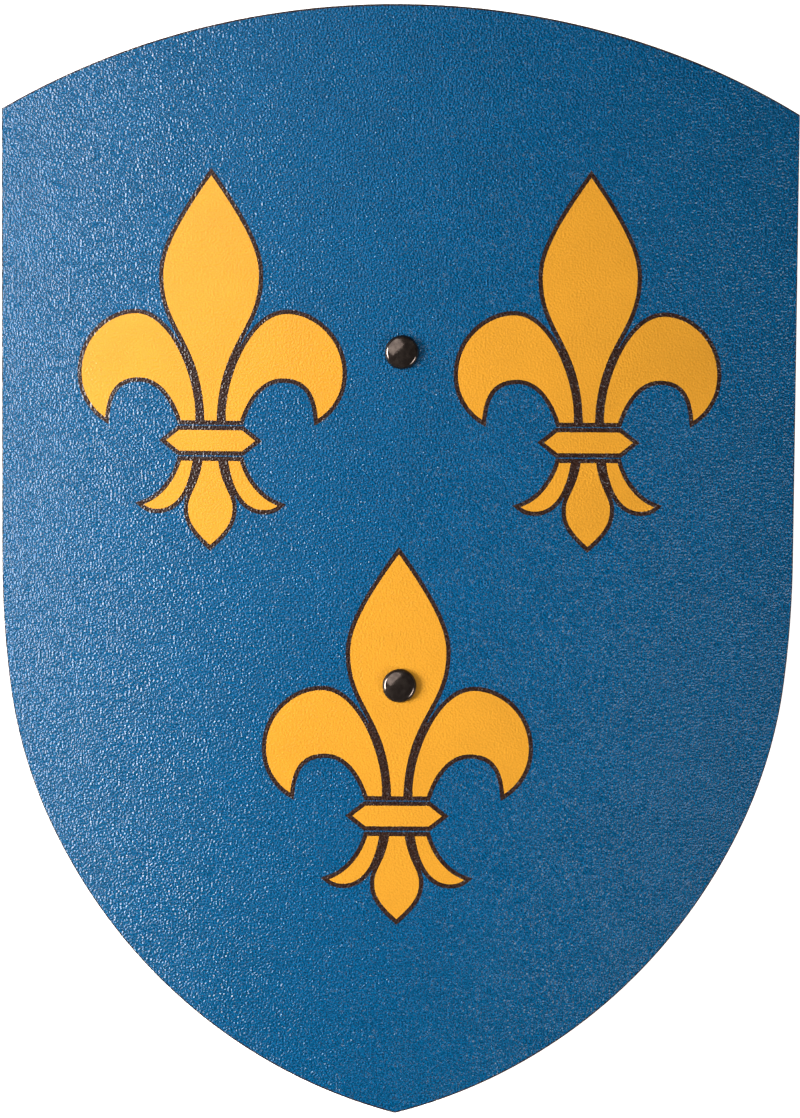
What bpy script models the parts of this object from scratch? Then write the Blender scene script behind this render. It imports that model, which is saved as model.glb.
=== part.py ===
"""Toy heater shield: a bent plywood board with a printed film, two cap rivets and an arm strap.

Metres, +Z up. The shield lies face up on the straight side edges of its hollow back.
X runs across it, +Y to the top edge, and the origin is under the middle, on the surface.
Every flat piece is modelled flat, as (across, along, depth), and then bent round one axis.
"""
import math

import bmesh
import bpy
from mathutils import Vector

# The board's outline. Across is measured straight from edge to edge of the finished bend.
WIDTH = 0.300
HEIGHT = 0.414
TOP_RISE = 0.0378
STRAIGHT_SIDE = 0.168
FLARE_RADIUS = 0.371
FLARE_ANGLE = math.radians(7.2)
SHOULDER_RADIUS = 0.1694
SHOULDER_ANGLE = math.radians(25.8)

# The bend and the layers. The bend radius is that of the printed face.
BEND_RADIUS = 0.600
FILM_THICKNESS = 0.0003
BOARD_THICKNESS = 0.005
EDGE_CHAMFER = 0.0004
GAP = 0.0003

# The rivets, and where they stand: along the centre line, the upper one below the top edge.
RIVET_DROP = 0.1279
RIVET_SPACING = 0.1241
RIVET_OFFSET = 0.0005
CAP_DIAMETER = 0.0126
CAP_HEIGHT = 0.0027
CAP_RIM = 0.0006
SHANK_DIAMETER = 0.004
BACK_CAP_DIAMETER = 0.0112
BACK_CAP_HEIGHT = 0.0020

# The strap, slack between the rivets and pressed low over the surface that the shield lies on.
STRAP_WIDTH = 0.026
STRAP_THICKNESS = 0.0022
STRAP_END = 0.014
STRAP_SEAT = 0.011
STRAP_CORNER = 0.008
STRAP_FLOOR_GAP = 0.0006

# How finely the round shapes are divided.
BEND_FACETS = 31
ARC_STEP = 0.006
STRAP_STEP = 0.005
RIVET_SIDES = 40
DOME_STEPS = 7

# What follows from these sizes.
HALF_GIRTH = BEND_RADIUS * math.asin(WIDTH / 2 / BEND_RADIUS)
FILM_BACK = -FILM_THICKNESS
BOARD_FRONT = FILM_BACK - GAP
BOARD_BACK = BOARD_FRONT - BOARD_THICKNESS
STRAP_FRONT = BOARD_BACK - GAP
STRAP_BACK = STRAP_FRONT - STRAP_THICKNESS
LOWEST_ANGLE = (HALF_GIRTH - EDGE_CHAMFER) / BEND_RADIUS
CROWN = BEND_RADIUS - (BEND_RADIUS + BOARD_BACK) * math.cos(LOWEST_ANGLE)
UPPER_RIVET = HEIGHT / 2 - RIVET_DROP
LOWER_RIVET = UPPER_RIVET - RIVET_SPACING


def clear_scene():
    """Remove every object of the scene."""
    for obj in list(bpy.data.objects):
        bpy.data.objects.remove(obj, do_unlink=True)


def material(name, color, roughness, metallic=0.0):
    """A plain Principled material."""
    mat = bpy.data.materials.new(name)
    mat.use_nodes = True
    shader = mat.node_tree.nodes["Principled BSDF"]
    shader.inputs["Base Color"].default_value = (*color, 1.0)
    shader.inputs["Roughness"].default_value = roughness
    shader.inputs["Metallic"].default_value = metallic
    mat.diffuse_color = (*color, 1.0)
    return mat


def finished(name, bm, mat, smooth_angle=30):
    """Make one closed, outward facing object of a bmesh."""
    bmesh.ops.remove_doubles(bm, verts=bm.verts, dist=1e-6)
    bmesh.ops.recalc_face_normals(bm, faces=bm.faces)
    mesh = bpy.data.meshes.new(name)
    bm.to_mesh(mesh)
    bm.free()
    mesh.shade_smooth()
    mesh.set_sharp_from_angle(angle=math.radians(smooth_angle))
    mesh.materials.append(mat)
    obj = bpy.data.objects.new(name, mesh)
    bpy.context.scene.collection.objects.link(obj)
    return obj


def arc(centre, radius, start, end):
    """Points of an arc round centre, both ends included, a step apart at most."""
    steps = max(2, math.ceil(abs(end - start) * radius / ARC_STEP))
    angles = [start + (end - start) * k / steps for k in range(steps + 1)]
    return [(centre[0] + radius * math.cos(a), centre[1] + radius * math.sin(a)) for a in angles]


def shield_outline(inset=0.0):
    """The heater outline, flat, a distance inside the board's edge.

    Down the right: a top arc, a straight side, a slow flare, a tighter shoulder and a long arc to
    the point, each tangent to the one before. The left side mirrors it.
    """
    top_radius = (HALF_GIRTH ** 2 + TOP_RISE ** 2) / (2 * TOP_RISE)
    top_centre = (0.0, HEIGHT / 2 - top_radius)
    corner_angle = math.acos((HALF_GIRTH - inset) / (top_radius - inset))
    top = arc(top_centre, top_radius - inset, math.pi / 2, corner_angle)

    straight_end = HEIGHT / 2 - TOP_RISE - STRAIGHT_SIDE
    flare_centre = Vector((HALF_GIRTH - FLARE_RADIUS, straight_end))
    flare_normal = Vector((math.cos(FLARE_ANGLE), -math.sin(FLARE_ANGLE)))
    flare = arc(flare_centre, FLARE_RADIUS - inset, 0.0, -FLARE_ANGLE)

    shoulder_centre = flare_centre + (FLARE_RADIUS - SHOULDER_RADIUS) * flare_normal
    shoulder_normal = Vector((math.cos(SHOULDER_ANGLE), -math.sin(SHOULDER_ANGLE)))
    shoulder = arc(shoulder_centre, SHOULDER_RADIUS - inset, -FLARE_ANGLE, -SHOULDER_ANGLE)

    shoulder_end = shoulder_centre + SHOULDER_RADIUS * shoulder_normal
    to_point = Vector((0.0, -HEIGHT / 2)) - shoulder_end
    point_radius = -to_point.length_squared / (2 * to_point.dot(shoulder_normal))
    point_centre = shoulder_end - point_radius * shoulder_normal
    point_angle = math.acos(-point_centre.x / (point_radius - inset))
    point = arc(point_centre, point_radius - inset, -SHOULDER_ANGLE, -point_angle)

    right = top[1:] + flare + shoulder[1:] + point[1:-1]
    left = [(-across, along) for across, along in reversed(right)]
    return [top[0]] + right + [point[-1]] + left


def rounded_strip_outline(half_width, low, high, corner):
    """The outline of a strip that runs along Y and has four round corners, flat."""
    across = half_width - corner
    points = arc((across, high - corner), corner, math.pi / 2, 0.0)
    points += arc((across, low + corner), corner, 0.0, -math.pi / 2)
    points += arc((-across, low + corner), corner, -math.pi / 2, -math.pi)
    points += arc((-across, high - corner), corner, math.pi, math.pi / 2)
    return points


def plate(outline, front, thickness, chamfer=0.0):
    """A flat plate: an outline at depth front, extruded back, with chamfered outer edges."""
    bm = bmesh.new()
    face = bm.faces.new([bm.verts.new((across, along, front)) for across, along in outline])
    grown = bmesh.ops.extrude_face_region(bm, geom=[face])
    back = [v for v in grown["geom"] if isinstance(v, bmesh.types.BMVert)]
    bmesh.ops.translate(bm, verts=back, vec=(0, 0, -thickness))
    if chamfer:
        rims = [e for e in bm.edges if abs(e.verts[0].co.z - e.verts[1].co.z) < thickness / 2]
        bmesh.ops.bevel(bm, geom=rims, offset=chamfer, segments=1, affect="EDGES")
    return bm


def cut_rows(bm, places, axis):
    """Cut a bmesh at each place along one axis, so that it can bend there."""
    normal = [0.0, 0.0, 0.0]
    normal[axis] = 1.0
    for place in places:
        point = [0.0, 0.0, 0.0]
        point[axis] = place
        geom = bm.verts[:] + bm.edges[:] + bm.faces[:]
        bmesh.ops.bisect_plane(bm, geom=geom, dist=1e-6, plane_co=point, plane_no=normal)


def facet_lines():
    """Where the bend's flat facets meet, measured across; one facet lies on the centre line."""
    width = 2 * HALF_GIRTH / BEND_FACETS
    return [-HALF_GIRTH + width * k for k in range(BEND_FACETS + 1)]


def bend(bm):
    """Bend a flat bmesh round the shield's axis, facet by facet, and lift it to its height."""
    cut_rows(bm, facet_lines()[1:-1], axis=0)
    width = 2 * HALF_GIRTH / BEND_FACETS
    for vert in bm.verts:
        across, along, depth = vert.co
        facet = min(BEND_FACETS - 1, max(0, int((across + HALF_GIRTH) / width)))
        share = (across + HALF_GIRTH) / width - facet
        first = (facet * width - HALF_GIRTH) / BEND_RADIUS
        last = ((facet + 1) * width - HALF_GIRTH) / BEND_RADIUS
        radius = BEND_RADIUS + depth
        x = radius * (math.sin(first) * (1 - share) + math.sin(last) * share)
        z = radius * (math.cos(first) * (1 - share) + math.cos(last) * share)
        vert.co = (x, along, z - BEND_RADIUS + CROWN)


def on_face(obj, along):
    """Stand an object on the printed face, its own Z along the outward normal there."""
    tilt = RIVET_OFFSET / BEND_RADIUS
    lift = BEND_RADIUS * (math.cos(tilt) - 1) + CROWN
    obj.location = (BEND_RADIUS * math.sin(tilt), along, lift)
    obj.rotation_euler = (0.0, tilt, 0.0)


def rivet_hole(along):
    """The hidden cutter that a rivet's shank passes through, with its clearance."""
    bm = bmesh.new()
    radius = SHANK_DIAMETER / 2 + GAP
    length = 4 * (CROWN - STRAP_BACK)
    bmesh.ops.create_cone(bm, cap_ends=True, segments=RIVET_SIDES, radius1=radius,
                          radius2=radius, depth=length)
    mesh = bpy.data.meshes.new("rivet_hole_cutter")
    bm.to_mesh(mesh)
    bm.free()
    cutter = bpy.data.objects.new("rivet_hole_cutter", mesh)
    bpy.context.scene.collection.objects.link(cutter)
    cutter.hide_render = True
    cutter.display_type = "WIRE"
    on_face(cutter, along)
    return cutter


def drill(obj, cutters):
    """Cut the rivets' holes in a piece."""
    for cutter in cutters:
        hole = obj.modifiers.new("rivet_hole", "BOOLEAN")
        hole.operation = "DIFFERENCE"
        hole.object = cutter


def make_film():
    """The printed film, which ends where the board's chamfer starts."""
    bm = plate(shield_outline(EDGE_CHAMFER), 0.0, FILM_THICKNESS)
    bend(bm)
    return finished("front_film", bm, material("printed_film", (0.03, 0.13, 0.28), 0.45))


def make_board():
    """The bent plywood board, its front and back edges lightly chamfered."""
    bm = plate(shield_outline(), BOARD_FRONT, BOARD_THICKNESS, EDGE_CHAMFER)
    bend(bm)
    return finished("board", bm, material("plywood", (0.56, 0.38, 0.21), 0.6))


def strap_depth(along):
    """Depth and slope of the strap's board side, at a place along the shield."""
    low = LOWER_RIVET + STRAP_SEAT
    high = UPPER_RIVET - STRAP_SEAT
    if along <= low or along >= high:
        return STRAP_FRONT, 0.0
    edge_drop = BEND_RADIUS - math.sqrt(BEND_RADIUS ** 2 - (STRAP_WIDTH / 2) ** 2)
    slack = CROWN + STRAP_BACK - edge_drop - STRAP_FLOOR_GAP
    turn = math.pi * (along - low) / (high - low)
    slope = -slack * math.pi / (high - low) * math.sin(2 * turn)
    return STRAP_FRONT - slack * math.sin(turn) ** 2, slope


def make_strap():
    """The leather strap: riveted flat at both ends, sagging in a bow between them."""
    low = LOWER_RIVET - STRAP_END
    high = UPPER_RIVET + STRAP_END
    outline = rounded_strip_outline(STRAP_WIDTH / 2, low, high, STRAP_CORNER)
    outline = [(across + RIVET_OFFSET, along) for across, along in outline]
    bm = plate(outline, 0.0, STRAP_THICKNESS, EDGE_CHAMFER)
    free_low = LOWER_RIVET + STRAP_SEAT
    free_high = UPPER_RIVET - STRAP_SEAT
    steps = math.ceil((free_high - free_low) / STRAP_STEP)
    cut_rows(bm, [free_low + (free_high - free_low) * k / steps for k in range(steps + 1)], axis=1)
    for vert in bm.verts:
        depth, slope = strap_depth(vert.co.y)
        normal = Vector((-slope, 1.0)).normalized()
        vert.co.y += vert.co.z * normal.x
        vert.co.z = depth + vert.co.z * normal.y
    bend(bm)
    return finished("arm_strap", bm, material("leather", (0.09, 0.04, 0.022), 0.55))


def dome(radius, rim, height, side):
    """A cap's profile from its rim to its middle, rising on one side (+1 or -1)."""
    turns = [math.pi / 2 * k / DOME_STEPS for k in range(DOME_STEPS + 1)]
    return [(radius * math.cos(t), side * (rim + (height - rim) * math.sin(t))) for t in turns]


def make_rivet(name, along, mat):
    """A cap rivet: a domed cap, a shank through film, board and strap, and a lower back cap."""
    shank = SHANK_DIAMETER / 2
    back = STRAP_BACK - GAP
    front_cap = [(r, z + GAP) for r, z in dome(CAP_DIAMETER / 2, CAP_RIM, CAP_HEIGHT, 1)]
    back_cap = [(r, z + back) for r, z in dome(BACK_CAP_DIAMETER / 2, CAP_RIM, BACK_CAP_HEIGHT, -1)]
    profile = front_cap[::-1] + [(CAP_DIAMETER / 2, GAP), (shank, GAP), (shank, back)]
    profile += [(BACK_CAP_DIAMETER / 2, back)] + back_cap
    bm = bmesh.new()
    verts = [bm.verts.new((r, 0.0, z)) for r, z in profile]
    edges = [bm.edges.new(pair) for pair in zip(verts, verts[1:])]
    bmesh.ops.spin(bm, geom=verts + edges, axis=(0, 0, 1), cent=(0, 0, 0), steps=RIVET_SIDES,
                   angle=2 * math.pi)
    rivet = finished(name, bm, mat)
    on_face(rivet, along)
    return rivet


def build():
    """Make every piece."""
    clear_scene()
    cutters = [rivet_hole(UPPER_RIVET), rivet_hole(LOWER_RIVET)]
    for piece in (make_film(), make_board(), make_strap()):
        drill(piece, cutters)
    rivet_metal = material("rivet_metal", (0.03, 0.022, 0.02), 0.35, 0.9)
    make_rivet("upper_rivet", UPPER_RIVET, rivet_metal)
    make_rivet("lower_rivet", LOWER_RIVET, rivet_metal)


build()
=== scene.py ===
import math
from itertools import takewhile

import bmesh
import bpy
from mathutils import Matrix, Vector
from mathutils.geometry import delaunay_2d_cdt


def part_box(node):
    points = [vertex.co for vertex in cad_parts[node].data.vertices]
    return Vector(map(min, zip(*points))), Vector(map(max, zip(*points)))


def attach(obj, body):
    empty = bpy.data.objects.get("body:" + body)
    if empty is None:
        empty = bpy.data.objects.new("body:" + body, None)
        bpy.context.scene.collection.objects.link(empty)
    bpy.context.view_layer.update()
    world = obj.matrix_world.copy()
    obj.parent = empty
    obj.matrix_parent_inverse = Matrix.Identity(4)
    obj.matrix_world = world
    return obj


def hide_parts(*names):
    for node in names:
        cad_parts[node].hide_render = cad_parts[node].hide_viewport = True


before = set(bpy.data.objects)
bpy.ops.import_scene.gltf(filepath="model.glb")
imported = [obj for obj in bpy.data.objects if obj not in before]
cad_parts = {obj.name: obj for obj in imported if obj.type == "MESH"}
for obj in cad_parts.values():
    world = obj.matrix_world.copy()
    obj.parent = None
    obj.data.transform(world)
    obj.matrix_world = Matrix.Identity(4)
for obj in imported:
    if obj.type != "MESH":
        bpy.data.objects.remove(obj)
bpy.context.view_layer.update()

MM = 0.001

# The board's outline and layers, as the solids have them.
WIDTH = 0.300
HEIGHT = 0.414
TOP_RISE = 0.0378
STRAIGHT_SIDE = 0.168
FLARE_RADIUS = 0.371
FLARE_ANGLE = math.radians(7.2)
SHOULDER_RADIUS = 0.1694
SHOULDER_ANGLE = math.radians(25.8)
BEND_RADIUS = 0.600
FILM_THICKNESS = 0.0003
BOARD_THICKNESS = 0.005
EDGE_CHAMFER = 0.0004
GAP = 0.0003
PLIES = 5

# The rivets. A cap is a dome, whose radius is given in cap radii, and a tighter shoulder that
# starts at a share of the cap's radius. Beyond another share the cap's rim is painted nearly black
# as the shade round its edge.
RIVET_OFFSET = 0.0005
UPPER_RIVET = HEIGHT / 2 - 0.1279
LOWER_RIVET = UPPER_RIVET - 0.1241
CAP_DIAMETER = 0.0126
CAP_HEIGHT = 0.0027
SHANK_DIAMETER = 0.004
BACK_CAP_DIAMETER = 0.0112
BACK_CAP_HEIGHT = 0.0020
FRONT_DOME = 2.6
BACK_DOME = 4.0
SHOULDER_SHARE = 0.80
RIM_SHADE_SHARE = 0.90
RIM_TUCK = 0.12 * MM

# The strap.
STRAP_WIDTH = 0.026
STRAP_THICKNESS = 0.0022
STRAP_END = 0.014
STRAP_SEAT = 0.011
STRAP_CORNER = 0.008
STRAP_FLOOR_GAP = 0.0006
STRAP_ROUNDING = 0.6 * MM

# What follows from these sizes.
HALF_GIRTH = BEND_RADIUS * math.asin(WIDTH / 2 / BEND_RADIUS)
BOARD_FRONT = -FILM_THICKNESS - GAP
BOARD_BACK = BOARD_FRONT - BOARD_THICKNESS
STRAP_FRONT = BOARD_BACK - GAP
STRAP_BACK = STRAP_FRONT - STRAP_THICKNESS
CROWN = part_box("front_film")[1].z

# One fleur-de-lis, its right half, from the middle of its main petal's foot, in its own unit.
# A chain is a first point and then, for each curve, two handles and an end point.
FLEUR_UNIT = 0.99625 * MM
PETAL = ((0, 91.3), (16.6, 68.5), (18.1, 60.0), (18.1, 54.1), (18.1, 33.4), (3.2, 30.0), (2.4, 0))
LOBE = ((5.7, 0), (4.8, 14.3), (14.6, 40.0), (28.6, 40.0), (38.5, 40.0), (49.5, 30.9),
        (49.5, 17.7), (49.5, 9.2), (44.3, 3.3), (40.2, 0.9), (39.4, 9.4), (36.7, 15.9),
        (27.1, 15.9), (19.6, 15.9), (14.1, 9.0), (11.2, 0))
FOOT = ((11.2, -14.9), (12.1, -18.4), (16.2, -28.2), (25.6, -31.5), (24.4, -32.6), (22.4, -33.3),
        (20.4, -33.3), (12.2, -33.3), (8.3, -25.2), (6.6, -14.9))
DROP = ((3.0, -14.9), (4.5, -24.7), (8.5, -27.6), (8.5, -32.4), (8.5, -36.8), (7.4, -40.1),
        (0, -46.6))
BAND = ((11.9, -3.4), (17.0, -7.4), (11.9, -11.4))

# The dark outlines of the figures, the dark line of painted shade along the film's edge, the ends
# of the channels that the outlines fill, and where the figures stand.
EDGE_SHADE_LINE = 0.35 * MM
LINE_OUTSIDE = 1.54 * MM
LINE_INSIDE = 0.11 * MM
CHANNEL_TOP = 28 * MM
CHANNEL_FOOT = -28 * MM
FIGURES = ((-0.07059, 0.05317), (0.07066, 0.05327), (0.0, -0.08671))

# How finely the pieces are divided.
FACE_STRIPS = 100
OUTLINE_STEP = 2.5 * MM
CURVE_STEP = 0.7 * MM
HOLE_STEP = 0.5 * MM
CORNER_STEP = 1.0 * MM
STRAP_ROWS = 90
RIVET_SIDES = 96
DOME_STEPS = 12
ROUND_STEPS = 3
SAME_POINT = 1e-7
ON_MIDDLE_LINE = 1e-9
SHARP_ANGLE = math.radians(35)
FLAT_ENOUGH = 0.99

# The film's inks, by their place in its material slots, its grain and its half gloss. The
# outline brown also paints a line of shade along the film's edge.
BLUE_INK, ORANGE_INK, OUTLINE_AND_EDGE_SHADE_INK, NO_INK = 0, 1, 2, None
BLUE = (0.0004, 0.0695, 0.1720)
ORANGE = (0.648, 0.284, 0.0240)
OUTLINE_AND_EDGE_SHADE_BROWN = (0.028, 0.012, 0.008)
FILM_GRAIN = 0.77 * MM
FILM_GRAIN_HEIGHT = 0.35 * MM
INK_MOTTLE = 0.57 * MM
FILM_ROUGHNESS = 0.22
FILM_GLOSS = 0.29

# The other finishes, and the painted shade on the board's edges and the caps' rims: a dark and
# a light colour for each.
WHITE = (1.0, 1.0, 1.0)
VENEER_DARK = (0.42, 0.27, 0.145)
VENEER_LIGHT = (0.68, 0.50, 0.31)
VENEER_PORES = (0.75, 0.62, 0.50)
# The board's edge: a dark stain, darkened nearly to black as painted shade along the edge.
EDGE_STAIN_AND_SHADE_DARK = (0.004, 0.003, 0.003)
EDGE_STAIN_AND_SHADE_LIGHT = (0.030, 0.019, 0.014)
RIVET_DARK = (0.075, 0.055, 0.047)
RIVET_RUBBED = (0.140, 0.108, 0.090)
# The caps' rims, painted nearly black as the shade that rings each cap.
RIM_SHADE_DARK = (0.005, 0.004, 0.004)
RIM_SHADE_LIGHT = (0.009, 0.0075, 0.007)
LEATHER_DARK = (0.035, 0.016, 0.009)
LEATHER_LIGHT = (0.11, 0.05, 0.027)
FLOOR_DARK = (0.80, 0.80, 0.80)
FLOOR_LIGHT = (0.84, 0.84, 0.84)
FLOOR_SIZE = 12.0
FLOOR_GLOW = 0.85

# The lights: name, place, width, height, power in watts and the beam's spread in degrees. A
# bright wide box low on the left, a large dim panel over the upper left and a weaker box beyond
# the lower right, in dim surroundings, so that the face stays dark towards the camera.
LIGHTS = (
    ("left_box", (-1.25, 0.00, 0.72), 0.9, 0.5, 5.0, 50),
    ("left_panel", (-0.60, 0.60, 1.30), 1.2, 1.2, 9.0, 180),
    ("right_box", (1.30, -0.90, 1.00), 1.0, 0.5, 1.2, 40),
)
SURROUNDINGS = 0.03

# The camera: the photograph's height in pixels, the size of one on the shield, and the distance,
# tilt, turn, roll and middle that the photograph was found to have. The offset is in pixels.
FRAME_PIXELS = 1118
PIXEL_SIZE = 0.3721 * MM
CAMERA_DISTANCE = 1.1206
CAMERA_TILT = math.radians(-3.71)
CAMERA_TURN = math.radians(0.75)
CAMERA_ROLL = math.radians(0.41)
PHOTO_MIDDLE = 0.00205
CENTRE_OFFSET = (-1.1, 0.75)
SENSOR = 36.0
NEAREST = 0.05
FARTHEST = 50.0


def arc(centre, radius, start, end, step=OUTLINE_STEP):
    """Points of an arc round centre, both ends included, a step apart at most."""
    steps = max(2, math.ceil(abs(end - start) * radius / step))
    angles = [start + (end - start) * k / steps for k in range(steps + 1)]
    return [(centre[0] + radius * math.cos(a), centre[1] + radius * math.sin(a)) for a in angles]


def shield_outline(inset=0.0):
    """The heater outline, flat, a distance inside the board's edge: a top arc, straight sides,
    and down each side a slow flare, a tighter shoulder and a long arc to the point."""
    top_radius = (HALF_GIRTH ** 2 + TOP_RISE ** 2) / (2 * TOP_RISE)
    top_centre = (0.0, HEIGHT / 2 - top_radius)
    corner_angle = math.acos((HALF_GIRTH - inset) / (top_radius - inset))
    top = arc(top_centre, top_radius - inset, math.pi / 2, corner_angle)

    straight_end = HEIGHT / 2 - TOP_RISE - STRAIGHT_SIDE
    flare_centre = Vector((HALF_GIRTH - FLARE_RADIUS, straight_end))
    flare_normal = Vector((math.cos(FLARE_ANGLE), -math.sin(FLARE_ANGLE)))
    flare = arc(flare_centre, FLARE_RADIUS - inset, 0.0, -FLARE_ANGLE)

    shoulder_centre = flare_centre + (FLARE_RADIUS - SHOULDER_RADIUS) * flare_normal
    shoulder_normal = Vector((math.cos(SHOULDER_ANGLE), -math.sin(SHOULDER_ANGLE)))
    shoulder = arc(shoulder_centre, SHOULDER_RADIUS - inset, -FLARE_ANGLE, -SHOULDER_ANGLE)

    shoulder_end = shoulder_centre + SHOULDER_RADIUS * shoulder_normal
    to_point = Vector((0.0, -HEIGHT / 2)) - shoulder_end
    point_radius = -to_point.length_squared / (2 * to_point.dot(shoulder_normal))
    point_centre = shoulder_end - point_radius * shoulder_normal
    point_angle = math.acos(-point_centre.x / (point_radius - inset))
    point = arc(point_centre, point_radius - inset, -SHOULDER_ANGLE, -point_angle)

    right = top[1:] + flare + shoulder[1:] + point[1:-1]
    left = [(-across, along) for across, along in reversed(right)]
    return [top[0]] + right + [point[-1]] + left


def cut_rows(bm, places, axis):
    """Cut a bmesh at each place along one axis, so that it can bend there."""
    normal = [0.0, 0.0, 0.0]
    normal[axis] = 1.0
    for place in places:
        point = [0.0, 0.0, 0.0]
        point[axis] = place
        geom = bm.verts[:] + bm.edges[:] + bm.faces[:]
        bmesh.ops.bisect_plane(bm, geom=geom, dist=SAME_POINT, plane_co=point, plane_no=normal)


def bend(bm):
    """Bend a flat bmesh round the shield's axis and lift it to its height."""
    cuts = [HALF_GIRTH * (2 * k / FACE_STRIPS - 1) for k in range(1, FACE_STRIPS)]
    cut_rows(bm, cuts, axis=0)
    for vert in bm.verts:
        across, along, depth = vert.co
        turn = across / BEND_RADIUS
        radius = BEND_RADIUS + depth
        vert.co = (radius * math.sin(turn), along, radius * math.cos(turn) - BEND_RADIUS + CROWN)


def thicken(bm, faces, thickness):
    """Give flat faces a thickness, away from the printed side."""
    grown = bmesh.ops.extrude_face_region(bm, geom=faces, use_keep_orig=True)
    back = [v for v in grown["geom"] if isinstance(v, bmesh.types.BMVert)]
    bmesh.ops.translate(bm, verts=back, vec=(0, 0, -thickness))


def round_rims(bm, thickness, offset):
    """Round the edges along the front and the back of a flat piece of that thickness."""
    rims = [e for e in bm.edges if abs(e.verts[0].co.z - e.verts[1].co.z) < thickness / 2]
    bmesh.ops.bevel(bm, geom=rims, offset=offset, segments=ROUND_STEPS, profile=0.5,
                    affect="EDGES")


def piece(name, bm, materials, node):
    """Make a finished piece of a bmesh: it rides on the part and stands for a CAD node."""
    bmesh.ops.remove_doubles(bm, verts=bm.verts, dist=SAME_POINT)
    bmesh.ops.recalc_face_normals(bm, faces=bm.faces)
    mesh = bpy.data.meshes.new(name)
    bm.to_mesh(mesh)
    bm.free()
    mesh.shade_smooth()
    mesh.set_sharp_from_angle(angle=SHARP_ANGLE)
    for mat in materials:
        mesh.materials.append(mat)
    obj = bpy.data.objects.new(name, mesh)
    bpy.context.scene.collection.objects.link(obj)
    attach(obj, "root")
    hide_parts(node)
    return obj


class Nodes:
    """A material's node tree, built in few words."""

    def __init__(self, name):
        self.material = bpy.data.materials.new(name)
        self.material.use_nodes = True
        self.tree = self.material.node_tree
        self.shader = self.tree.nodes["Principled BSDF"]
        self.place = self.add("ShaderNodeTexCoord").outputs["Object"]

    def add(self, kind, links=None, **settings):
        """A node of a kind. Settings that name an input socket set its value, others the node."""
        node = self.tree.nodes.new(kind)
        for name, value in settings.items():
            socket = node.inputs.get(name)
            if socket is not None:
                socket.default_value = value
            else:
                setattr(node, name, value)
        for name, source in (links or {}).items():
            self.tree.links.new(source, node.inputs[name])
        return node

    def math(self, operation, first, second=None):
        """One arithmetic step on sockets or numbers."""
        node = self.add("ShaderNodeMath", operation=operation)
        for slot, value in zip(node.inputs, (first, second)):
            if isinstance(value, bpy.types.NodeSocket):
                self.tree.links.new(value, slot)
            elif value is not None:
                slot.default_value = value
        return node.outputs[0]

    def weighed(self, first, first_share, second, second_share):
        """The sum of two sockets, each times its share."""
        return self.math("ADD", self.math("MULTIPLY", first, first_share),
                         self.math("MULTIPLY", second, second_share))

    def along_grain(self, share):
        """The object's coordinates, with its length counted at a share, so that noise runs
        long up the shield."""
        scale = (1.0, share, 1.0)
        return self.add("ShaderNodeMapping", {"Vector": self.place}, Scale=scale).outputs[0]

    def noise(self, scale, detail=2.0, roughness=0.5, vector=None, **settings):
        """Noise with its middle at 0.5, scale in cells per metre."""
        return self.add("ShaderNodeTexNoise", {"Vector": vector or self.place}, Scale=scale,
                        Detail=detail, Roughness=roughness, **settings).outputs["Fac"]

    def ramp(self, factor, low, high, start=0.0, end=1.0):
        """A colour that runs from low to high as factor goes from start to end."""
        node = self.add("ShaderNodeValToRGB", {"Fac": factor})
        for element, place, color in zip(node.color_ramp.elements, (start, end), (low, high)):
            element.position = place
            element.color = (*color, 1.0)
        return node.outputs["Color"]

    def multiplied(self, first, second):
        """The product of two colour sockets."""
        node = self.add("ShaderNodeMix", data_type="RGBA", blend_type="MULTIPLY")
        sockets = {socket.identifier: socket for socket in node.inputs}
        sockets["Factor_Float"].default_value = 1.0
        self.tree.links.new(first, sockets["A_Color"])
        self.tree.links.new(second, sockets["B_Color"])
        return next(s for s in node.outputs if s.identifier == "Result_Color")

    def bump(self, height, distance):
        """A bump of a height socket, whose full range stands a distance high."""
        return self.add("ShaderNodeBump", {"Height": height}, Distance=distance).outputs[0]

    def finish(self, color, normal=None, roughness=None, **constants):
        """Connect the shader and set what is the same all over."""
        for name, source in (("Base Color", color), ("Roughness", roughness), ("Normal", normal)):
            if source is not None:
                self.tree.links.new(source, self.shader.inputs[name])
        for name, value in constants.items():
            self.shader.inputs[name.replace("_", " ")].default_value = value
        return self.material


def film_material(name, color, grain_share=1.0, clouding=0.05, mottling=0.42):
    """Printed film: an ink under a crinkled, half gloss grain that runs on through the inks.
    The ink is mottled in spots a little finer than the grain, and very slightly cloudy."""
    nodes = Nodes(name)
    crinkles = nodes.noise(1 / FILM_GRAIN, 0.0, noise_dimensions="2D")
    normal = nodes.bump(crinkles, FILM_GRAIN_HEIGHT * grain_share)
    mottle = nodes.noise(1 / INK_MOTTLE, 0.0, noise_dimensions="2D")
    clouds = nodes.noise(45.0, 3.0, 0.6, noise_dimensions="2D")
    change = mottling + clouding
    both = nodes.weighed(mottle, mottling / change, clouds, clouding / change)
    dark = [c * (1 - change) for c in color]
    light = [c * (1 + change) for c in color]
    shade = nodes.ramp(both, dark, light, 0.3, 0.7)
    return nodes.finish(shade, normal, Roughness=FILM_ROUGHNESS, Specular_IOR_Level=FILM_GLOSS)


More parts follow.
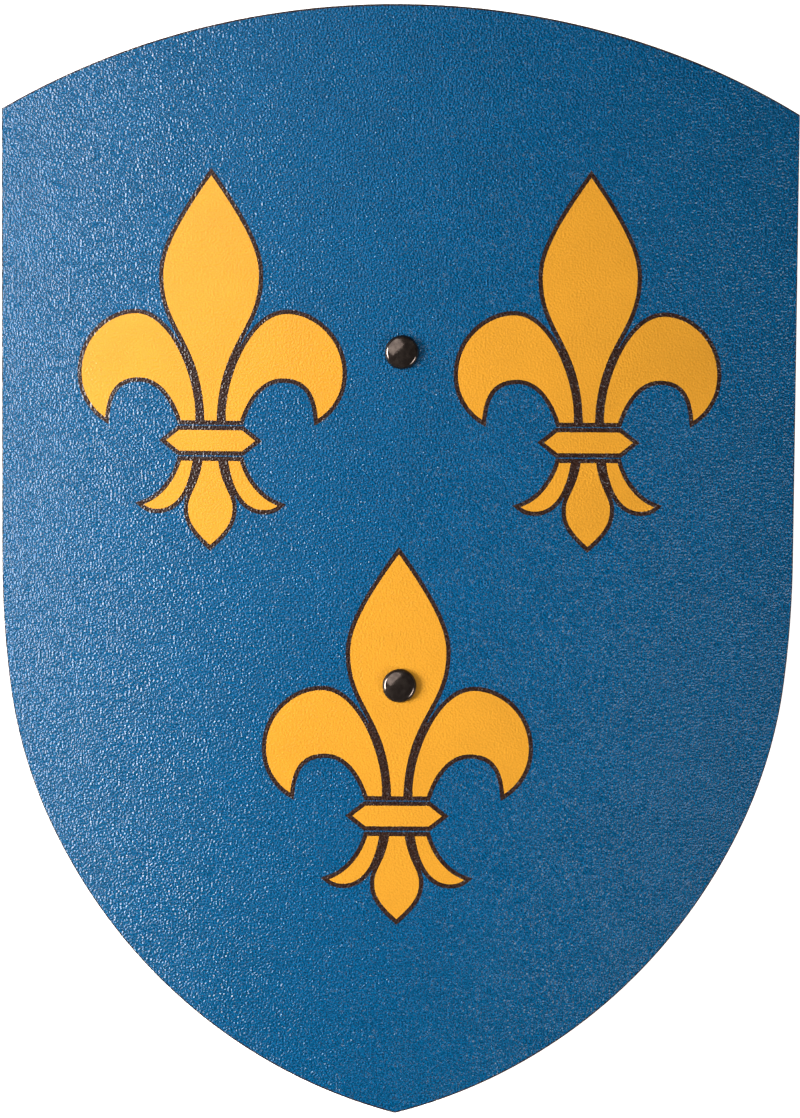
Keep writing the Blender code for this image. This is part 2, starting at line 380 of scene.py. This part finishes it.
def veneer_material():
    """Bare birch veneer on the back, its long grain running up the shield."""
    nodes = Nodes("plywood_veneer")
    figure = nodes.noise(55.0, 4.0, 0.6, nodes.along_grain(0.05))
    fibres = nodes.noise(1400.0, 2.0, 0.6, nodes.along_grain(0.02))
    flecks = nodes.noise(900.0, 1.0, 0.5, nodes.along_grain(0.12))
    rings = nodes.math("FRACT", nodes.math("MULTIPLY", figure, 9.0))
    grain = nodes.weighed(rings, 0.22, fibres, 0.78)
    wood = nodes.ramp(grain, VENEER_DARK, VENEER_LIGHT, 0.30, 0.68)
    pores = nodes.ramp(flecks, WHITE, VENEER_PORES, 0.66, 0.80)
    normal = nodes.bump(fibres, 0.08 * MM)
    return nodes.finish(nodes.multiplied(wood, pores), normal, Roughness=0.6)


def edge_material():
    """The board's cut edge: veneers crossing in layers under a dark stain, darkened nearly to
    black as painted shade along the edge.
    """
    nodes = Nodes("plywood_edge")
    axes = nodes.add("ShaderNodeSeparateXYZ", {"Vector": nodes.place})
    reach = nodes.math("ADD", axes.outputs["Z"], BEND_RADIUS - CROWN)
    squared = nodes.math("ADD", nodes.math("MULTIPLY", reach, reach),
                         nodes.math("MULTIPLY", axes.outputs["X"], axes.outputs["X"]))
    depth = nodes.math("SUBTRACT", BEND_RADIUS + BOARD_FRONT, nodes.math("SQRT", squared))
    pair = nodes.math("FRACT", nodes.math("MULTIPLY", depth, PLIES / 2 / BOARD_THICKNESS))
    crossing = nodes.math("GREATER_THAN", pair, 0.5)
    fibres = nodes.noise(2500.0, 2.0, 0.7)
    tone = nodes.weighed(crossing, 0.45, fibres, 0.5)
    stain_and_shade = nodes.ramp(tone, EDGE_STAIN_AND_SHADE_DARK, EDGE_STAIN_AND_SHADE_LIGHT, 0.2, 0.95)
    return nodes.finish(stain_and_shade, nodes.bump(tone, 0.1 * MM), Roughness=0.7)


def rivet_material():
    """Dark bronzed metal, glossy, with faint rubbed patches."""
    nodes = Nodes("rivet_metal")
    patches = nodes.noise(420.0, 3.0, 0.6)
    color = nodes.ramp(patches, RIVET_DARK, RIVET_RUBBED, 0.42, 0.68)
    roughness = nodes.math("ADD", nodes.math("MULTIPLY", patches, 0.14), 0.06)
    normal = nodes.bump(nodes.noise(1500.0, 2.0), 0.012 * MM)
    return nodes.finish(color, normal, roughness, Metallic=0.85, IOR=1.6)


def painted_rim_shade_material():
    """The same metal on the caps' outer rims, painted nearly black as the shade that rings each
    cap.
    """
    nodes = Nodes("rivet_painted_rim_shade")
    color = nodes.ramp(nodes.noise(420.0, 3.0, 0.6), RIM_SHADE_DARK, RIM_SHADE_LIGHT, 0.42, 0.68)
    return nodes.finish(color, Roughness=0.45, Metallic=0.3)


def leather_material():
    """Dark brown strap leather."""
    nodes = Nodes("strap_leather")
    grain = nodes.add("ShaderNodeTexVoronoi", {"Vector": nodes.place}, Scale=1100.0).outputs[0]
    creases = nodes.noise(260.0, 4.0, 0.6)
    color = nodes.ramp(creases, LEATHER_DARK, LEATHER_LIGHT, 0.3, 0.7)
    normal = nodes.bump(nodes.math("ADD", grain, creases), 0.12 * MM)
    return nodes.finish(color, normal, Roughness=0.5)


def floor_material():
    """Pale paint that glows a little, so that the floor comes out nearly white."""
    nodes = Nodes("floor_paint")
    tone = nodes.ramp(nodes.noise(0.6, 2.0), FLOOR_DARK, FLOOR_LIGHT)
    return nodes.finish(tone, Roughness=0.9, Emission_Strength=FLOOR_GLOW,
                        Emission_Color=(*WHITE, 1.0))


def curve_points(chain):
    """Points along a chain of curves, both ends included, in metres."""
    chain = [Vector(p) * FLEUR_UNIT for p in chain]
    points = [chain[0]]
    for k in range(0, len(chain) - 1, 3):
        a, b, c, d = chain[k:k + 4]
        length = (b - a).length + (c - b).length + (d - c).length
        steps = max(2, round(length / CURVE_STEP))
        for n in range(1, steps + 1):
            t = n / steps
            u = 1 - t
            points.append(a * u ** 3 + b * 3 * u * u * t + c * 3 * u * t * t + d * t ** 3)
    return points


def mirrored(points):
    """The same points on the left, in the opposite order."""
    return [Vector((-p.x, p.y)) for p in reversed(points)]


def with_mirror(points):
    """A closed outline of its right half, whose ends may lie on the middle line."""
    left = [p for p in mirrored(points) if abs(p.x) > ON_MIDDLE_LINE]
    return points + left


def anticlockwise(points):
    """The closed outline, turned so that it runs anticlockwise."""
    doubled = sum(a.x * b.y - b.x * a.y for a, b in zip(points, points[1:] + points[:1]))
    return points if doubled > 0 else points[::-1]


def outset(points, distance):
    """A closed anticlockwise outline, moved outwards, with pointed corners."""
    moved = []
    for before, here, after in zip(points[-1:] + points[:-1], points, points[1:] + points[:1]):
        first = (here - before).normalized()
        second = (after - here).normalized()
        first_out = Vector((first.y, -first.x))
        second_out = Vector((second.y, -second.x))
        moved.append(here + (first_out + second_out) * distance / (1 + first_out.dot(second_out)))
    return moved


def channel(first, second, lead):
    """The strip between two edges that start side by side, begun a little before their starts."""
    return [first[0] + lead] + first + second[::-1] + [second[0] + lead]


def fleur_channels():
    """The narrow channels beside the petal's foot and the drop, which the outline's ink fills."""
    line = Vector((0.0, LINE_OUTSIDE))
    petal = list(takewhile(lambda p: p.y < CHANNEL_TOP, curve_points(PETAL)[::-1]))
    lobe = list(takewhile(lambda p: p.y < CHANNEL_TOP, curve_points(LOBE)))
    drop = list(takewhile(lambda p: p.y > CHANNEL_FOOT, curve_points(DROP)))
    foot = list(takewhile(lambda p: p.y > CHANNEL_FOOT, curve_points(FOOT)[::-1]))
    right = [channel(petal, lobe, -line), channel(drop, foot, line)]
    return [anticlockwise(strip) for strip in right + [mirrored(strip) for strip in right]]


def fleur_shapes():
    """The closed outlines of one fleur-de-lis: petal, two lobes, band, two feet and drop."""
    lobe = curve_points(LOBE)
    foot = curve_points(FOOT)
    band = [Vector(p) * FLEUR_UNIT for p in BAND]
    shapes = [with_mirror(curve_points(PETAL)), lobe, mirrored(lobe), with_mirror(band)]
    shapes += [foot, mirrored(foot), with_mirror(curve_points(DROP))]
    return [anticlockwise(shape) for shape in shapes]


def inked_outlines():
    """The outlines on the film with the ink inside each, where a later one lies over an
    earlier one: a line of painted shade along the film's edge, ground, and per figure its
    channels, outlines and shapes, and last the rivets' holes."""
    found = []
    # The outermost band is outline brown, painted as shade along the film's edge; inside it lies
    # the blue ground.
    for inset, ink in ((EDGE_CHAMFER, OUTLINE_AND_EDGE_SHADE_INK), (EDGE_CHAMFER + EDGE_SHADE_LINE, BLUE_INK)):
        found.append((anticlockwise([Vector(p) for p in shield_outline(inset)]), ink))
    for middle in (Vector(place) for place in FIGURES):
        for strip in fleur_channels():
            found.append(([p + middle for p in strip], OUTLINE_AND_EDGE_SHADE_INK))
        for shape in fleur_shapes():
            shape = [p + middle for p in shape]
            found.append((outset(shape, LINE_OUTSIDE), OUTLINE_AND_EDGE_SHADE_INK))
            found.append((outset(shape, -LINE_INSIDE), ORANGE_INK))
    for along in (UPPER_RIVET, LOWER_RIVET):
        radius = SHANK_DIAMETER / 2 + GAP
        hole = arc((RIVET_OFFSET, along), radius, 0.0, 2 * math.pi, HOLE_STEP)
        found.append(([Vector(p) for p in hole[:-1]], NO_INK))
    return found


def make_face():
    """The printed film: one flush sheet whose faces are blue, orange or outline brown; the brown
    also paints a line of shade along the film's edge.
    """
    outlines, inks = zip(*inked_outlines())
    points = [p for outline in outlines for p in outline]
    loops = []
    start = 0
    for outline in outlines:
        loops.append(list(range(start, start + len(outline))))
        start += len(outline)
    inside_only = 1
    corners, _, triangles, _, _, sources = delaunay_2d_cdt(points, [], loops, inside_only,
                                                           SAME_POINT)
    bm = bmesh.new()
    verts = [bm.verts.new((*p, 0.0)) for p in corners]
    for triangle, covering in zip(triangles, sources):
        ink = inks[max(covering)]
        if ink is not NO_INK:
            bm.faces.new([verts[c] for c in triangle]).material_index = ink
    bmesh.ops.delete(bm, geom=[v for v in bm.verts if not v.link_faces], context="VERTS")
    thicken(bm, bm.faces[:], -BOARD_FRONT)
    bend(bm)
    films = [film_material("film_blue", BLUE),
             film_material("film_orange", ORANGE, 0.35, 0.03, 0.04),
             film_material("film_outline_and_edge_shade", OUTLINE_AND_EDGE_SHADE_BROWN, 0.9)]
    piece("printed_face", bm, films, "front_film")


def make_board():
    """The bent plywood board, its edges softly rounded, stained and painted dark as shade."""
    bm = bmesh.new()
    face = bm.faces.new([bm.verts.new((*p, BOARD_FRONT)) for p in shield_outline()])
    thicken(bm, [face], BOARD_THICKNESS)
    round_rims(bm, BOARD_THICKNESS, EDGE_CHAMFER)
    bm.normal_update()
    # Faces off the front and back take the edge's stain and painted shade.
    for face in bm.faces:
        face.material_index = 0 if abs(face.normal.z) > FLAT_ENOUGH else 1
    bend(bm)
    piece("plywood_board", bm, [veneer_material(), edge_material()], "board")


def stand_on_face(obj, along):
    """Stand an object on the printed face, its own Z along the outward normal there."""
    tilt = RIVET_OFFSET / BEND_RADIUS
    lift = BEND_RADIUS * (math.cos(tilt) - 1) + CROWN
    place = Matrix.Translation((BEND_RADIUS * math.sin(tilt), along, lift))
    obj.data.transform(place @ Matrix.Rotation(tilt, 4, "Y"))


def cap_profile(radius, height, side, base, flatness):
    """A cap from its middle to its seat: a dome, a tighter shoulder and a tucked rim."""
    dome_radius = flatness * radius
    shoulder_place = SHOULDER_SHARE * radius
    start = math.asin(shoulder_place / dome_radius)
    shoulder_radius = (radius - shoulder_place) / (1 - math.sin(start))
    points = []
    for k in range(DOME_STEPS + 1):
        turn = start * k / DOME_STEPS
        points.append((dome_radius * math.sin(turn), height - dome_radius * (1 - math.cos(turn))))
    shoulder_top = points[-1][1]
    for k in range(1, DOME_STEPS + 1):
        turn = start + (math.pi / 2 - start) * k / DOME_STEPS
        points.append((shoulder_place + shoulder_radius * (math.sin(turn) - math.sin(start)),
                       shoulder_top - shoulder_radius * (math.cos(start) - math.cos(turn))))
    points += [(radius, RIM_TUCK), (radius - RIM_TUCK, 0.0)]
    return [(r, base + side * z) for r, z in points]


def make_rivet(name, node, along, metals):
    """A cap rivet: domed cap, shank and lower back cap, turned round its own axis."""
    back = STRAP_BACK - GAP
    profile = cap_profile(CAP_DIAMETER / 2, CAP_HEIGHT, 1, GAP, FRONT_DOME)
    profile += [(SHANK_DIAMETER / 2, GAP), (SHANK_DIAMETER / 2, back)]
    profile += cap_profile(BACK_CAP_DIAMETER / 2, BACK_CAP_HEIGHT, -1, back, BACK_DOME)[::-1]
    bm = bmesh.new()
    verts = [bm.verts.new((r, 0.0, z)) for r, z in profile]
    edges = [bm.edges.new(pair) for pair in zip(verts, verts[1:])]
    bmesh.ops.spin(bm, geom=verts + edges, axis=(0, 0, 1), cent=(0, 0, 0), steps=RIVET_SIDES,
                   angle=2 * math.pi)
    # Faces beyond the rim's share take the second metal, painted nearly black as shade round the
    # cap.
    for face in bm.faces:
        middle = face.calc_center_median()
        cap = CAP_DIAMETER if middle.z > 0 else BACK_CAP_DIAMETER
        face.material_index = int(math.hypot(middle.x, middle.y) > RIM_SHADE_SHARE * cap / 2)
    stand_on_face(piece(name, bm, metals, node), along)


def strap_depth(along):
    """Depth and slope of the strap's board side, at a place along the shield."""
    low = LOWER_RIVET + STRAP_SEAT
    high = UPPER_RIVET - STRAP_SEAT
    if along <= low or along >= high:
        return STRAP_FRONT, 0.0
    edge_drop = BEND_RADIUS - math.sqrt(BEND_RADIUS ** 2 - (STRAP_WIDTH / 2) ** 2)
    slack = CROWN + STRAP_BACK - edge_drop - STRAP_FLOOR_GAP
    turn = math.pi * (along - low) / (high - low)
    slope = -slack * math.pi / (high - low) * math.sin(2 * turn)
    return STRAP_FRONT - slack * math.sin(turn) ** 2, slope


def make_strap():
    """The leather strap: riveted flat at both ends, sagging in a bow between them."""
    low = LOWER_RIVET - STRAP_END
    high = UPPER_RIVET + STRAP_END
    side = STRAP_WIDTH / 2 - STRAP_CORNER
    quarter = math.pi / 2
    outline = []
    for across, along, turns in ((side, high - STRAP_CORNER, 1), (side, low + STRAP_CORNER, 0),
                                 (-side, low + STRAP_CORNER, -1), (-side, high - STRAP_CORNER, 2)):
        start = turns * quarter
        outline += arc((across + RIVET_OFFSET, along), STRAP_CORNER, start, start - quarter,
                       CORNER_STEP)
    bm = bmesh.new()
    face = bm.faces.new([bm.verts.new((*p, 0.0)) for p in outline])
    thicken(bm, [face], STRAP_THICKNESS)
    round_rims(bm, STRAP_THICKNESS, STRAP_ROUNDING)
    cut_rows(bm, [low + (high - low) * k / STRAP_ROWS for k in range(1, STRAP_ROWS)], axis=1)
    for vert in bm.verts:
        depth, slope = strap_depth(vert.co.y)
        normal = Vector((-slope, 1.0)).normalized()
        vert.co.y += vert.co.z * normal.x
        vert.co.z = depth + vert.co.z * normal.y
    bend(bm)
    piece("leather_strap", bm, [leather_material()], "arm_strap")


def make_floor():
    """A plain pale floor, far wider than the view."""
    bpy.ops.mesh.primitive_plane_add(size=FLOOR_SIZE)
    floor = bpy.context.object
    floor.name = "floor"
    floor.data.materials.append(floor_material())


def make_lights():
    """The softboxes, which look at the shield and aren't seen by the camera, and the world."""
    scene = bpy.context.scene
    for name, place, width, height, power, spread in LIGHTS:
        light = bpy.data.lights.new(name, "AREA")
        light.shape = "RECTANGLE"
        light.size = width
        light.size_y = height
        light.energy = power
        light.spread = math.radians(spread)
        obj = bpy.data.objects.new(name, light)
        scene.collection.objects.link(obj)
        obj.location = place
        obj.rotation_euler = (-Vector(place)).to_track_quat("-Z", "Y").to_euler()
        obj.visible_camera = False
    world = bpy.data.worlds.new("studio")
    world.use_nodes = True
    background = world.node_tree.nodes["Background"]
    background.inputs["Color"].default_value = (*WHITE, 1.0)
    background.inputs["Strength"].default_value = SURROUNDINGS
    scene.world = world
    scene.view_settings.view_transform = "Standard"


def make_camera():
    """The photograph's view: from above, a little tilted, turned and rolled."""
    turn = Vector((math.cos(CAMERA_TURN), 0.0, math.sin(CAMERA_TURN)))
    facing = Vector((-math.sin(CAMERA_TURN), 0.0, math.cos(CAMERA_TURN)))
    down = Vector((0.0, -1.0, 0.0)) * math.cos(CAMERA_TILT) - facing * math.sin(CAMERA_TILT)
    back = Vector((0.0, -1.0, 0.0)) * math.sin(CAMERA_TILT) + facing * math.cos(CAMERA_TILT)
    image_right = turn * math.cos(CAMERA_ROLL) - down * math.sin(CAMERA_ROLL)
    image_down = turn * math.sin(CAMERA_ROLL) + down * math.cos(CAMERA_ROLL)
    place = Vector((0.0, PHOTO_MIDDLE, CROWN)) + back * CAMERA_DISTANCE
    place -= image_right * CENTRE_OFFSET[0] * PIXEL_SIZE
    place -= image_down * CENTRE_OFFSET[1] * PIXEL_SIZE
    data = bpy.data.cameras.new("camera")
    data.sensor_width = SENSOR
    data.lens = SENSOR * CAMERA_DISTANCE / (FRAME_PIXELS * PIXEL_SIZE)
    data.clip_start = NEAREST
    data.clip_end = FARTHEST
    camera = bpy.data.objects.new("camera", data)
    bpy.context.scene.collection.objects.link(camera)
    axes = Matrix((image_right, -image_down, back)).transposed()
    camera.matrix_world = Matrix.Translation(place) @ axes.to_4x4()
    bpy.context.scene.camera = camera


make_camera()
make_face()
make_board()
rivet_metals = [rivet_material(), painted_rim_shade_material()]
make_rivet("rivet_upper", "upper_rivet", UPPER_RIVET, rivet_metals)
make_rivet("rivet_lower", "lower_rivet", LOWER_RIVET, rivet_metals)
make_strap()
make_floor()
make_lights()
